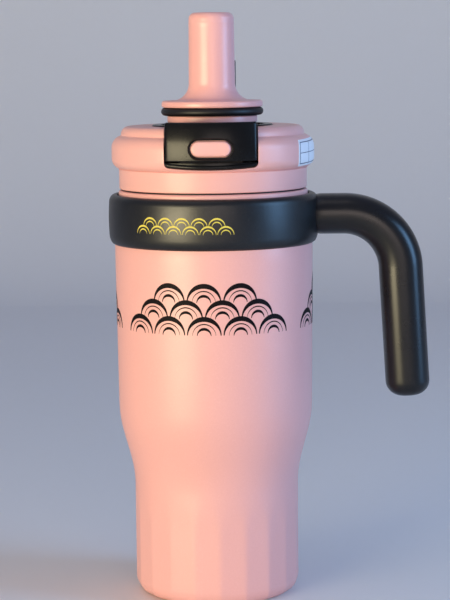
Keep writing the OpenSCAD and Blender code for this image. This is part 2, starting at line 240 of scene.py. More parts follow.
def rounded_box(w, h, r, n=5):
    """Outline of a rounded rectangle about the origin, as (x, y)."""
    return filleted([(w / 2, h / 2, r), (-w / 2, h / 2, r), (-w / 2, -h / 2, r), (w / 2, -h / 2, r)], n)


def block(name, low, high, edge):
    """A box with rounded edges, as a loft along X."""
    steps = [(edge * (1 - math.cos(a)), edge * (1 - math.sin(a))) for a in np.linspace(0, math.pi / 2, 4)]
    stations = [(low[0] + move, inset) for move, inset in steps]
    stations += [(high[0] - move, inset) for move, inset in reversed(steps)]
    cy, cz = (low[1] + high[1]) / 2, (low[2] + high[2]) / 2
    rings = []
    for x, e in stations:
        outline = rounded_box(high[1] - low[1] - 2 * e, high[2] - low[2] - 2 * e, max(edge - e, 0.02), 4)
        rings.append([(x, cy + y, cz + z) for y, z in outline])
    return loft(name, rings)


def pill(w, h, n=12):
    """Outline of a slot shape about the origin, as (x, z)."""
    r = h / 2
    half = w / 2 - r
    return arc(half, 0, r, -90, 90, n) + arc(-half, 0, r, 90, 270, n)


# ---------------------------------------------------------------- materials

class Surface:
    """A Principled material with object-space noise that drives colour, roughness and bump."""

    def __init__(self, name, colour, roughness):
        self.mat = bpy.data.materials.new(name)
        self.mat.use_nodes = True
        self.nodes = self.mat.node_tree.nodes
        self.links = self.mat.node_tree.links
        self.bsdf = self.nodes["Principled BSDF"]
        self.bsdf.inputs["Roughness"].default_value = roughness
        self.place = self.nodes.new("ShaderNodeTexCoord").outputs["Object"]
        self.colour = self._colour(colour)
        self.rough = None
        self.normal = None

    def _colour(self, rgb):
        node = self.nodes.new("ShaderNodeRGB")
        node.outputs[0].default_value = (*rgb, 1)
        return node.outputs[0]

    def set(self, **values):
        """Even values of the Principled node, with underscores for the spaces in their names."""
        for key, value in values.items():
            self.bsdf.inputs[key.replace("_", " ")].default_value = value

    def noise(self, scale, detail=3, roughness=0.55, stretch=None, distortion=0.0):
        node = self.nodes.new("ShaderNodeTexNoise")
        node.inputs["Scale"].default_value = scale
        node.inputs["Detail"].default_value = detail
        node.inputs["Roughness"].default_value = roughness
        node.inputs["Distortion"].default_value = distortion
        place = self.place
        if stretch:
            mapping = self.nodes.new("ShaderNodeMapping")
            mapping.inputs["Scale"].default_value = stretch
            self.links.new(place, mapping.inputs["Vector"])
            place = mapping.outputs[0]
        self.links.new(place, node.inputs["Vector"])
        return node.outputs["Fac"]

    def ramp(self, value, low, high, out_low=0.0, out_high=1.0):
        """Maps low to high onto out_low to out_high, and holds the ends."""
        node = self.nodes.new("ShaderNodeMapRange")
        node.inputs["From Min"].default_value = low
        node.inputs["From Max"].default_value = high
        node.inputs["To Min"].default_value = out_low
        node.inputs["To Max"].default_value = out_high
        self.links.new(value, node.inputs["Value"])
        return node.outputs["Result"]

    def times(self, a, b):
        node = self.nodes.new("ShaderNodeMath")
        node.operation = "MULTIPLY"
        self.links.new(a, node.inputs[0])
        if isinstance(b, (int, float)):
            node.inputs[1].default_value = b
        else:
            self.links.new(b, node.inputs[1])
        return node.outputs[0]

    def tint(self, mask, rgb):
        """Mixes the colour so far with another one where the mask is high."""
        node = self.nodes.new("ShaderNodeMix")
        node.data_type = "RGBA"
        self.links.new(mask, node.inputs["Factor"])
        self.links.new(self.colour, node.inputs["A"])
        node.inputs["B"].default_value = (*rgb, 1)
        self.colour = node.outputs["Result"]

    def roughen(self, mask, low, high):
        """Roughness runs from low to high with the mask."""
        self.rough = self.ramp(mask, 0.0, 1.0, low, high)

    def bump(self, value, strength, distance_mm):
        node = self.nodes.new("ShaderNodeBump")
        node.inputs["Strength"].default_value = strength
        node.inputs["Distance"].default_value = distance_mm * MM
        self.links.new(value, node.inputs["Height"])
        if self.normal:
            self.links.new(self.normal, node.inputs["Normal"])
        self.normal = node.outputs["Normal"]

    def done(self):
        self.links.new(self.colour, self.bsdf.inputs["Base Color"])
        if self.rough:
            self.links.new(self.rough, self.bsdf.inputs["Roughness"])
        if self.normal:
            self.links.new(self.normal, self.bsdf.inputs["Normal"])
        return self.mat


def powder_coat(name, colour, speck, light):
    """Baked powder coat: a fine orange peel with faint darker and lighter specks."""
    s = Surface(name, colour, 0.42)
    grain = s.noise(1500, 2)
    s.tint(s.ramp(grain, 0.56, 0.78, 0, 0.22), speck)
    s.tint(s.ramp(grain, 0.44, 0.26, 0, 0.22), light)
    s.tint(s.ramp(s.noise(26, 4), 0.42, 0.75, 0, 0.10), speck)
    s.roughen(s.noise(90, 4), 0.36, 0.50)
    s.bump(s.noise(950, 3), 0.35, 0.05)
    s.bump(s.noise(260, 2), 0.12, 0.08)
    s.set(Coat_Weight=0.12, Coat_Roughness=0.35, Specular_IOR_Level=0.5)
    return s.done()


def moulded(name, colour, speck, roughness=0.4, grain=1300, depth=0.04, scuff=None, shine=0.5):
    """Moulded plastic with a fine spark-eroded texture and, if asked, light scuffs."""
    s = Surface(name, colour, roughness)
    fine = s.noise(grain, 3, 0.6)
    s.tint(s.ramp(fine, 0.52, 0.80, 0, 0.30), speck)
    s.tint(s.ramp(s.noise(35, 4), 0.45, 0.8, 0, 0.12), speck)
    s.roughen(s.noise(60, 5), roughness - 0.06, roughness + 0.08)
    s.bump(fine, 0.5, depth)
    if scuff:
        marks = s.noise(240, 6, 0.75, stretch=(1, 1, 0.35), distortion=1.2)
        place = s.times(s.ramp(marks, 0.66, 0.74), s.ramp(s.noise(28, 2), 0.50, 0.66))
        s.tint(s.times(place, 0.5), scuff)
        s.bump(place, 0.25, 0.05)
    s.set(Specular_IOR_Level=shine)
    return s.done()


def rubber(name, colour, bloom):
    """Silicone or TPE: soft and even, with a little dusty bloom."""
    s = Surface(name, colour, 0.46)
    s.tint(s.ramp(s.noise(70, 5), 0.50, 0.80, 0, 0.35), bloom)
    s.roughen(s.noise(150, 4), 0.38, 0.56)
    s.bump(s.noise(1400, 2), 0.3, 0.03)
    s.set(Specular_IOR_Level=0.4)
    return s.done()


def brushed(name, colour, dark, stretch, roughness=0.3):
    """Brushed steel: fine lines along the axis whose stretch is smallest."""
    s = Surface(name, colour, roughness)
    lines = s.noise(900, 4, 0.7, stretch=stretch)
    s.tint(s.ramp(lines, 0.45, 0.75, 0, 0.4), dark)
    s.tint(s.ramp(s.noise(40, 4), 0.5, 0.8, 0, 0.2), dark)
    s.roughen(lines, roughness - 0.08, roughness + 0.12)
    s.bump(lines, 0.25, 0.02)
    s.set(Metallic=1.0)
    return s.done()


def turned(name, colour, dark):
    """Steel turned on a lathe: rings about the Z axis."""
    s = Surface(name, colour, 0.3)
    split = s.nodes.new("ShaderNodeSeparateXYZ")
    s.links.new(s.place, split.inputs[0])
    flat = s.nodes.new("ShaderNodeCombineXYZ")
    s.links.new(split.outputs["X"], flat.inputs["X"])
    s.links.new(split.outputs["Y"], flat.inputs["Y"])
    length = s.nodes.new("ShaderNodeVectorMath")
    length.operation = "LENGTH"
    s.links.new(flat.outputs[0], length.inputs[0])
    rings = s.nodes.new("ShaderNodeTexNoise")
    rings.noise_dimensions = "1D"
    rings.inputs["Scale"].default_value = 2600
    rings.inputs["Detail"].default_value = 3
    s.links.new(length.outputs["Value"], rings.inputs["W"])
    s.tint(s.ramp(rings.outputs["Fac"], 0.45, 0.75, 0, 0.45), dark)
    s.roughen(rings.outputs["Fac"], 0.22, 0.42)
    s.bump(rings.outputs["Fac"], 0.3, 0.02)
    s.set(Metallic=1.0)
    return s.done()


def foam(name, colour, cell_colour):
    """Fine cells, as of foam or of sintered metal."""
    s = Surface(name, colour, 0.9)
    cells = s.nodes.new("ShaderNodeTexVoronoi")
    cells.inputs["Scale"].default_value = 900
    s.links.new(s.place, cells.inputs["Vector"])
    s.tint(s.ramp(cells.outputs["Distance"], 0.3, 0.8, 0, 0.5), cell_colour)
    s.bump(cells.outputs["Distance"], 0.8, 0.2)
    return s.done()


def clear_plastic(name, colour):
    """Clear, slightly cloudy plastic."""
    s = Surface(name, colour, 0.18)
    s.tint(s.ramp(s.noise(60, 4), 0.5, 0.8, 0, 0.3), (0.95, 0.96, 0.97))
    s.roughen(s.noise(90, 4), 0.10, 0.30)
    s.bump(s.noise(500, 2), 0.1, 0.02)
    s.set(Transmission_Weight=0.75, IOR=1.45)
    return s.done()


def ink(name, colour, worn, roughness=0.4, shine=0.5):
    """Screen-printed ink: a thin even film, slightly worn at fine scale."""
    s = Surface(name, colour, roughness)
    s.tint(s.ramp(s.noise(1800, 3), 0.62, 0.80, 0, 0.5), worn)
    s.roughen(s.noise(200, 3), roughness - 0.05, roughness + 0.12)
    s.bump(s.noise(1100, 2), 0.2, 0.02)
    s.set(Specular_IOR_Level=shine)
    return s.done()


PINK_COAT = powder_coat("pink_powder_coat", (0.78, 0.40, 0.365), (0.66, 0.31, 0.28), (0.88, 0.52, 0.49))
PINK_LID = moulded("pink_lid_plastic", (0.80, 0.42, 0.38), (0.72, 0.35, 0.31), 0.36, 1500, 0.025)
PINK_SPOUT = moulded("pink_spout_plastic", (0.80, 0.41, 0.385), (0.74, 0.35, 0.32), 0.33, 900, 0.012)
COLLAR_BLACK = moulded("collar_black_plastic", (0.004, 0.0045, 0.0055), (0.03, 0.028, 0.025), 0.37, 1250, 0.068,
                       (0.06, 0.055, 0.05), 0.48)
GRIP_BLACK = moulded("grip_black_soft", (0.004, 0.004, 0.0045), (0.016, 0.015, 0.014), 0.28, 1500, 0.018,
                     (0.10, 0.09, 0.08), 0.42)
INSERT_BLACK = moulded("insert_black_plastic", (0.003, 0.003, 0.003), (0.014, 0.0135, 0.013), 0.25, 1400, 0.025,
                       (0.03, 0.028, 0.026), 0.22)
LINER_BLACK = moulded("liner_plastic", (0.018, 0.018, 0.02), (0.04, 0.04, 0.04), 0.42, 1000, 0.03)
SEAL_RUBBER = rubber("seal_silicone", (0.005, 0.005, 0.006), (0.016, 0.016, 0.018))
WHITE_PART = moulded("white_acetal", (0.72, 0.72, 0.70), (0.60, 0.60, 0.58), 0.38, 700, 0.02)
WHITE_SOFT = rubber("white_silicone", (0.70, 0.71, 0.71), (0.55, 0.56, 0.56))
INSIDE_STEEL = brushed("inside_steel", (0.62, 0.62, 0.63), (0.36, 0.36, 0.37), (1, 1, 0.03), 0.28)
BASE_STEEL = turned("base_steel", (0.60, 0.60, 0.61), (0.34, 0.34, 0.35))
WIRE_STEEL = brushed("wire_steel", (0.58, 0.58, 0.60), (0.30, 0.30, 0.31), (0.1, 1, 1), 0.22)
SOLDER = ink("glass_solder", (0.09, 0.08, 0.06), (0.2, 0.18, 0.15), 0.15)
GETTER = foam("getter_sinter", (0.08, 0.08, 0.085), (0.03, 0.03, 0.03))
FOAM = foam("closed_cell_foam", (0.80, 0.77, 0.66), (0.62, 0.58, 0.48))
STRAW_CLEAR = clear_plastic("straw_clear", (0.88, 0.90, 0.92))
PRINT_BLACK = ink("print_black", (0.006, 0.004, 0.005), (0.03, 0.015, 0.015), 0.50, 0.08)
PRINT_YELLOW = ink("print_yellow", (0.66, 0.56, 0.09), (0.42, 0.34, 0.06), 0.45, 0.25)
LABEL_WHITE = ink("label_white", (0.80, 0.80, 0.82), (0.62, 0.62, 0.66), 0.30)
LABEL_FRAME = ink("label_frame", (0.10, 0.11, 0.16), (0.4, 0.4, 0.45), 0.35)


def finish_piece(obj, material, body, slot, *nodes):
    """Gives a piece its material and body, and hides the CAD nodes that it stands for; slot is not used."""
    obj.data.materials.clear()
    obj.data.materials.append(material)
    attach(obj, body)
    if nodes:
        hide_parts(*nodes)
    return obj


# ---------------------------------------------------------------- flask

def ease(u):
    """0 below 0 and 1 above 1, with a smooth rise between them."""
    return (1 - math.cos(math.pi * min(max(u, 0.0), 1.0))) / 2


def wall_radius(z):
    """Outside radius of the flask, without its flats, up to the collar."""
    if z < WAIST_Z:
        return FOOT_R - (FOOT_R - WAIST_R) * z / WAIST_Z
    if z < TAPER_Z:
        return WAIST_R + (WALL_R - WAIST_R) * ease((z - WAIST_Z) / (TAPER_Z - WAIST_Z))
    return WALL_R + (SEAT_R - WALL_R) * min((z - TAPER_Z) / (SEAT_Z - TAPER_Z), 1.0)


def flat_distance(z):
    """Distance of the flats from the axis: they run out in soft arches below the waist."""
    return FLAT_R + 0.06 * ease((z - 30) / 10) + 0.62 * max(0.0, (z - 34) / 14) ** 1.7


def flatted(r, z, angle):
    """Pulls a radius in to the nearest flat. The high power keeps the boundaries crisp, but rounded."""
    flats_end, power = 52, 420
    if z > flats_end:
        return r
    pitch = 2 * math.pi / FLATS
    phase = (angle - math.radians(FLAT_TURN)) % pitch - pitch / 2
    distance = flat_distance(z) * (r / wall_radius(z) if z < FOOT_FILLET else 1)
    total = 1.0
    for k in (-1, 0, 1):
        total += (distance / math.cos(phase + k * pitch) / r) ** -power
    return r * total ** (-1 / power)


def build_outer_shell():
    fillet, wall, mouth = FOOT_FILLET, 0.8, 38.9
    heights = [9, 13, 18, 23, *range(28, 50, 2), *range(50, 81, 3), 84, 90, 100, 112, 124, 136, 148, SEAT_Z]
    outside = arc(FOOT_R - fillet, fillet, fillet, 270, 360, 14)
    outside += [(wall_radius(z), z) for z in heights]
    outside += [(NECK_R, 160.9), (NECK_R, 170)] + arc(NECK_R - 1, RIM_Z - 1, 1, 0, 90, 6)
    inside = [(mouth, RIM_Z), (mouth, RIM_Z - wall), (NECK_R - wall, RIM_Z - wall - 1), (NECK_R - wall, 160.9),
              (SEAT_R - wall, SEAT_Z)]
    inside += [(wall_radius(z) - wall - 0.45 * (z < 50), z) for z in reversed(heights[:-1])]
    inside += arc(FOOT_R - fillet, fillet, fillet - wall, 360, 270, 8)
    inside += [(28.4, wall), (28.4, 0.15), (28.55, 0)]

    def shape(r, z, angle):
        return flatted(r, z, angle) if r > wall_radius(z) - 0.3 or z < fillet and r > 30 else r

    shell = lathe("bottle_shell", outside + inside, 360, shape)
    return finish_piece(shell, PINK_COAT, "flask", "pink_coat", "outer_shell")


def helix_lug(name, root_r, crest_r, z0, start_deg):
    """One thread start: a trapezoid ridge that climbs about Z and fades out at both ends."""
    lead, sweep_deg, height, steps = 3.0, 70, 1.6, 40
    rings = []
    for i in range(steps + 1):
        u = i / steps
        fade = min(1.0, 8 * u, 8 * (1 - u)) ** 0.5
        a = math.radians(start_deg + sweep_deg * u)
        z = z0 + lead * sweep_deg / 360 * (u - 0.5)
        crest = root_r + (crest_r - root_r) * fade
        half = height / 2 * (0.35 + 0.65 * fade)
        ring = [(root_r, -half), (crest, -half * 0.45), (crest, half * 0.45), (root_r, half)]
        rings.append([(r * math.cos(a), r * math.sin(a), z + dz) for r, dz in ring])
    return loft(name, rings)


def thread_lugs(name, root_r, crest_r, z0):
    return [helix_lug(f"{name}_{k}", root_r, crest_r, z0, 120 * k + 24) for k in range(3)]


def build_inner_flask():
    mouth, low, wall, rim, bottom, corner = 37.4, 31.4, 0.6, 38.9, 8, 8

    def radius(z):
        return low + (mouth - low) * ease((z - WAIST_Z) / (TAPER_Z - WAIST_Z))

    heights = [20, 34, *range(48, 85, 4), 110, 140, 160]
    outside = [(0, bottom)] + arc(low + wall - corner, bottom + corner, corner, 270, 360, 8)
    outside += [(radius(z) + wall, z) for z in heights]
    outside += [(mouth + wall, 176.2), (rim, 176.2), (rim, RIM_Z)] + arc(mouth + 0.5, RIM_Z - 0.5, 0.5, 90, 180, 4)
    inside = [(radius(z), z) for z in reversed(heights)]
    inside += arc(low + wall - corner, bottom + corner, corner - wall, 360, 270, 8) + [(0, bottom + wall)]
    flask = lathe("flask_liner", outside + inside, 180)
    lugs = thread_lugs("neck_lug", mouth + 0.2, 36.85, 168.2)
    return finish_piece(merge("flask_inside", [flask] + lugs), INSIDE_STEEL, "flask", "steel", "inner_flask")


def build_base_plate():
    outline = filleted([(0, 0, 0), (10, 0, 0.05), (10.4, 0.18, 0.05), (12.4, 0.18, 0.05), (12.8, 0, 0.05),
                        (24.6, 0, 0.05), (24.9, 0.15, 0.05), (25.5, 0.15, 0.05), (25.8, 0, 0.05),
                        (28.0, 0, 0.2), (28.3, 0.4, 0.1), (28.3, 0.8, 0), (0, 0.8, 0)], 3)
    plate = lathe("base_cover", outline, 144)
    return finish_piece(plate, BASE_STEEL, "flask", "base_steel", "base_plate")


# ---------------------------------------------------------------- collar and handle

def collar_radius(z):
    """Outside radius of the collar: a soft upper edge, a slight swell and a longer lower curve."""
    top, bottom, wall = COLLAR_TOP, COLLAR_BOTTOM, COLLAR_R - 0.05
    low_r, high_r = COLLAR_LOW_EDGE, COLLAR_HIGH_EDGE
    swell = 0.55 * (2 * (z - bottom) / (top - bottom) - 1) ** 2
    low = low_r - math.sqrt(max(low_r ** 2 - max(bottom + low_r - z, 0.0) ** 2, 0.0))
    high = high_r - math.sqrt(max(high_r ** 2 - max(z - top + high_r, 0.0) ** 2, 0.0))
    return wall - swell - 0.42 * low - 0.75 * high


def build_collar():
    top, bottom = COLLAR_TOP, COLLAR_BOTTOM
    heights = [*np.linspace(bottom, bottom + COLLAR_LOW_EDGE, 10), *np.linspace(bottom + 5, top - 3.2, 9)]
    heights += [top - COLLAR_HIGH_EDGE * (1 - math.sin(a)) for a in np.linspace(0, math.pi / 2, 10)]
    outline = [(43.05, bottom + 0.2), (43.2, bottom)] + [(collar_radius(z), z) for z in heights]
    outline += [(41.9, top - 0.02), (41.65, top - 0.25), (41.65, 161.2), (43.05, 157.2)]
    ring = lathe("collar_ring", outline, 256)
    arm = block("collar_arm", (COLLAR_R - 2.0, -7, 159.2), (60, 7, 170.8), 1.5)
    piece = merge("handle_collar", [ring, arm])
    return finish_piece(piece, COLLAR_BLACK, "flask", "frame_black", "handle_frame")


def handle_path():
    """Middle line of the handle in the XZ plane with its tangent: arm, bend and hanging part."""
    arm_z, bend_r, bend_x, lean = 165.7, 24.6, 56.6, 3.3
    points = [((x, arm_z), (1.0, 0.0)) for x in np.linspace(GRIP_LOW[0] + 0.05, bend_x - 1.5, 6)]
    for a in np.linspace(90, lean, 32):
        c, s = math.cos(math.radians(a)), math.sin(math.radians(a))
        points.append(((bend_x + bend_r * c, arm_z - bend_r + bend_r * s), (s, -c)))
    (x0, z0), (tx, tz) = points[-1]
    length = (z0 - GRIP_LOW[2] - 0.6) / -tz
    points += [((x0 + tx * d, z0 + tz * d), (tx, tz)) for d in np.linspace(3, length, 22)]
    return points


def build_grip():
    """The sleeve: its rounded section is thinner along the arm and grows to full size at the bend."""
    half_y = GRIP_HIGH[1] - 0.05
    arm_half, growth, end_r, sides, squareness = 8.75, 0.8, 6.2, 56, 0.86
    path = handle_path()
    total = np.cumsum([0] + [math.dist(path[i][0], path[i - 1][0]) for i in range(1, len(path))])
    stations = [(s, 0.0) for s in total if s < total[-1] - end_r]
    stations += [(total[-1] - end_r + end_r * math.sin(a), end_r * (1 - math.cos(a)))
                 for a in np.linspace(0, math.pi / 2 * 0.93, 12)]
    xs = [p[0][0] for p in path]
    zs = [p[0][1] for p in path]
    txs = [p[1][0] for p in path]
    tzs = [p[1][1] for p in path]
    rings = []
    for s, inset in stations:
        x, z = np.interp(s, total, xs), np.interp(s, total, zs)
        tx, tz = np.interp(s, total, txs), np.interp(s, total, tzs)
        norm = math.hypot(tx, tz)
        nx, nz = -tz / norm, tx / norm
        thick = arm_half + growth * ease((s - 8) / 42)
        start = 0.35 * max(0.0, 1 - s / 0.8) ** 2
        ring = []
        for k in range(sides):
            a = 2 * math.pi * k / sides
            c, d = math.cos(a), math.sin(a)
            u = math.copysign(abs(c) ** squareness, c) * (thick - inset - start)
            v = math.copysign(abs(d) ** squareness, d) * (half_y - inset - start)
            ring.append((x + nx * u, v, z + nz * u))
        rings.append(ring)
    # A shallow dome closes the end
    tx, tz = path[-1][1]
    last = rings[-1]
    centre = np.mean(np.array(last), axis=0)
    for f in (0.8, 0.55, 0.3, 0.1):
        push = 0.35 * (1 - f * f)
        rings.append([tuple(centre + (np.array(p) - centre) * f + np.array([tx, 0, tz]) * push) for p in last])
    grip = loft("handle_sleeve", rings, sharp_deg=50)
    return finish_piece(grip, GRIP_BLACK, "flask", "grip_black", "handle_grip")


# ---------------------------------------------------------------- lid

def panel_edge(grow, top):
    """Outline of the front panel in X and Z: round lower corners and an arched lower edge."""
    half, corner, corner_z = PANEL_HALF, PANEL_CORNER, PANEL_CORNER_Z
    sag_r, sag = 180.0, 5.5
    return ([(half + grow, top), (-half - grow, top)] + arc(corner - half, corner_z, corner + grow, 180, 265, 8)
            + arc(0, 187.6 + sag_r, sag_r + grow, 270 - sag, 270 + sag, 12)
            + arc(half - corner, corner_z, corner + grow, 275, 360, 8))


def build_lid_shell():
    skirt, top, corner = 40.55, 39.55, 3.4
    low, high = LID_LOW[2], LID_HIGH[2]
    outline = [(38.75, low), (38.55, low + 0.2), (38.55, 187.1), (41.6, 190), (41.6, 195), (37.6, 199.5),
               (36.5, high - 2), (26.3, high - 2), (26.3, high - 0.25), (26.55, high)]
    outline += arc(top - corner, high - corner, corner, 90, 0, 10)
    outline += arc(top + 0.62, 200.92, 0.6, 180, 255, 4)
    outline += arc(BULGE_R - BULGE_HIGH_EDGE, BULGE_HIGH_Z, BULGE_HIGH_EDGE, 72, 0, 12)
    outline += arc(BULGE_R - BULGE_LOW_EDGE, BULGE_LOW_Z, BULGE_LOW_EDGE, 0, -72, 12)
    outline += arc(skirt + 0.5, 185.8, 0.45, 110, 180, 4)
    outline += arc(skirt - 0.5, low + 0.5, 0.5, 0, -90, 5)
    shell = lathe("lid_cap", outline, 288)
    window = panel_edge(0.4, 215)
    front = loft("window_cutter", [[(x, y, z) for x, z in window] for y in (-60, -16)])
    notch = block("notch_cutter", (-15.4, 15, 197), (15.4, 37, 215), 0.8)
    cut(shell, front, notch)
    bevel(shell, 0.25, 2, 50)
    return finish_piece(shell, PINK_LID, "lid", "pink_plastic", "lid_shell")


def build_lid_insert():
    well = filleted([(8.9, 192.5, 0.2), (24, 192.5, 0.5), (24, 203, 0.3), (25.95, 203, 0.2), (25.95, 205, 0.5),
                     (22.4, 205, 0.5), (22.4, 194.5, 0.8), (8.9, 194.5, 0.3)], 5)
    cup = lathe("lid_well", well, 192)
    housing = build_front_housing()
    bracket = block("loop_bracket", (-15, 22.6, 197.4), (15, 36.5, 203.2), 0.6)
    ears = []
    ear_x, ear_z = 12.3, 206.2
    for side in (-1, 1):
        outline = filleted([(28.2, 202.6, 0), (34.8, 202.6, 0), (34.8, 209.9, 3.1), (28.2, 209.9, 3.1)], 8)
        rings = []
        for move, inset in ((-1.75, 0.5), (-1.45, 0.12), (-1.2, 0), (1.2, 0), (1.45, 0.12), (1.75, 0.5)):
            k = 1 - inset / 3.3
            rings.append([(ear_x * side + move, LOOP_Y + (y - LOOP_Y) * k, ear_z + (z - ear_z) * k)
                          for y, z in outline])
        ears.append(loft(f"loop_ear_{side + 1}", rings))
    piece = merge("lid_insert_black", [cup, housing, bracket] + ears)
    return finish_piece(piece, INSERT_BLACK, "lid", "insert_black", "lid_insert")


def build_front_housing():
    """The black block at the front: its face follows the lid's curve, leans back towards its top and holds
    the button's pocket."""
    deck_r, back_r, edge, half = 26.0, 23.2, 0.9, PANEL_HALF
    low, high, deck_z = 190.9, 207.0, 204.8
    lean, lean_z = 1.4, 198.5
    ends = [(edge * (1 - math.cos(a)), edge * (1 - math.sin(a))) for a in np.linspace(0, math.pi / 2, 5)]
    stations = [(-half + move, inset) for move, inset in ends]
    stations += [(x, 0.0) for x in np.linspace(-half + 1.6, half - 1.6, 33)]
    stations += [(half - move, inset) for move, inset in reversed(ends)]

    def face_y(x, z):
        return -math.sqrt((HOUSING_R - lean * (max(z - lean_z, 0) / (high - lean_z)) ** 1.5) ** 2 - x * x)

    rings = []
    for x, e in stations:
        front, brow = face_y(x, low) + e, face_y(x, high) + e
        deck = -math.sqrt(deck_r ** 2 - x * x)
        back = -math.sqrt(back_r ** 2 - x * x) - e
        profile = filleted([(back, low + e, 0.3), (front, low + e, max(0.5 - e, 0.05))]
                           + [(face_y(x, z) + e, z, 0) for z in (lean_z, 200, 201.5, 203, 204.5)]
                           + [(brow, high - e, max(1.0 - e, 0.25)), (brow + 2.4, high - e, 1.0),
                              (deck, deck_z - e, 0.8), (back, deck_z - e, 0.3)], 6)
        rings.append([(x, y, z) for y, z in profile])
    housing = loft("front_housing", rings)
    rings = []
    for depth, grow in ((-9, 1.35), (-0.1, 1.35), (0.25, 1.05), (0.6, 0.9), (1.0, 0.85), (1.1, 0.3), (6, 0.3)):
        rings.append([(x, depth - math.sqrt(HOUSING_R ** 2 - x * x), BUTTON_Z + z)
                      for x, z in pill(BUTTON_W + 2 * grow, BUTTON_H + 2 * grow, 16)])
    cut(housing, loft("pocket_cutter", rings),
        block("flange_room", (-10.8, -41.4, 189.9), (10.8, -37.6, 201.6), 0.3),
        block("cavity_cutter", (-15, -38.6, 189.9), (15, -24.9, 201.6), 0.4),
        block("way_cutter", (-15, -38.6, 189.8), (15, -12, 192.0), 0.4))
    shade(housing)
    return housing


def build_front_trim():
    """The rounded lip under the housing: both its edges sag towards the middle."""
    front_r, wall_r, back_r, wall_z, half = 44.08, 42.5, 41.85, 190.29, 19.15
    rings = []
    stations = [half * (1 - 0.16 * (1 - math.cos(a))) for a in np.linspace(0, math.pi / 2, 10)]
    stations += list(np.linspace(15.2, 0, 12))
    outline = panel_edge(-0.02, 215)
    lower = sorted((x, z) for x, z in outline if z < 190.4)
    lows = [v[0] for v in lower], [v[1] for v in lower]
    for x in [-v for v in stations] + list(reversed(stations[:-1])):
        low = float(np.interp(x, *lows))
        high = 189.15 + 1.1 * (x / half) ** 2
        low = min(low, high - 0.25)
        front, wall, back = (-math.sqrt(r * r - x * x) for r in (front_r, wall_r, back_r))
        r = min(0.8, (high - low) * 0.42)
        profile = filleted([(back, low, 0.05), (front, low, r), (front, high, r), (wall, high, 0.1),
                            (wall, wall_z, 0.1), (back, wall_z, 0.05)], 5)
        rings.append([(x, y, z) for y, z in profile])
    trim = loft("front_lip", rings)
    return finish_piece(trim, INSERT_BLACK, "lid", "insert_black", "front_trim")


def build_button():
    """The pill-shaped face with a rounded, slightly crowned front, and the flange that keeps it in."""
    front = BUTTON_LOW[1]
    stations = [(0, BUTTON_HIGH[1]), (0, front + 1.2)]
    stations += [(1.0 * (1 - math.cos(a)), front + 1.15 - 1.0 * math.sin(a)) for a in np.linspace(0.15, 1.45, 7)]
    stations += [(1.8, front + 0.08), (2.5, front + 0.03), (3.0, front + 0.01)]
    rings = [[(x, y, BUTTON_Z + z) for x, z in pill(BUTTON_W - 2 * inset, BUTTON_H - 2 * inset, 14)]
             for inset, y in stations]
    face = loft("button_face", rings)
    flange = block("button_flange", (-10, -40.9, BUTTON_Z - 4), (10, -39.7, BUTTON_Z + 4), 0.3)
    return finish_piece(merge("push_button", [face, flange]), PINK_LID, "button", "pink_plastic", "button")


def build_mouthpiece():
    """Stem with its ring groove and latch groove, two flanges round the seal, the flare, the tube and the lip."""
    top, root, flare, foot, lip, lip_edge = SPOUT_TOP, 10.0, 7.3, 215.12, 9.7, 2.8
    stem = filleted([(4, 180, 0.3), (7.6, 180, 0.4), (8.5, 180.9, 0.4), (8.5, 182.2, 0.1), (7.6, 182.2, 0.1),
                     (7.6, 184.2, 0.1), (8.5, 184.2, 0.1), (8.5, 199.2, 0.1), (7.2, 199.2, 0.1), (7.2, 202.2, 0.1),
                     (8.5, 203.2, 0.2), (8.5, 205.7, 0.5), (19.4, 205.7, 0.7), (19.4, 208.6, 0.7),
                     (18.5, 208.6, 0.1), (18.5, 212.3, 0.1), (21.8, 212.3, 0.7), (21.8, 215.08, 1.1),
                     (17.4, foot, 0.4)], 5)[:-1]
    curve = arc(root + flare, foot + flare, flare, 268, 180, 18)
    tube = [(9.92, 230), (9.84, 238), (9.76, 246), (9.74, 247.9), (9.79, 248.1), (9.74, 248.3), (9.7, 249.0)]
    rim = arc(lip - lip_edge, top - lip_edge, lip_edge, 0, 90, 12) + arc(6.9, top - 0.7, 0.7, 90, 180, 5)
    bore = [(6.2, 184.5), (4.0, 182.2)]
    spout = lathe("spout", stem + curve + tube + rim + bore, 160)
    return finish_piece(spout, PINK_SPOUT, "mouthpiece", "pink_spout", "mouthpiece")


def build_plug_seal():
    outline = [(18.5, 208.7)] + arc(SEAL_R - 1.72, 210.45, 1.7, 270, 450, 16) + [(18.5, 212.2)]
    seal = lathe("spout_seal", outline, 160)
    return finish_piece(seal, SEAL_RUBBER, "mouthpiece", "seal_rubber", "plug_seal")


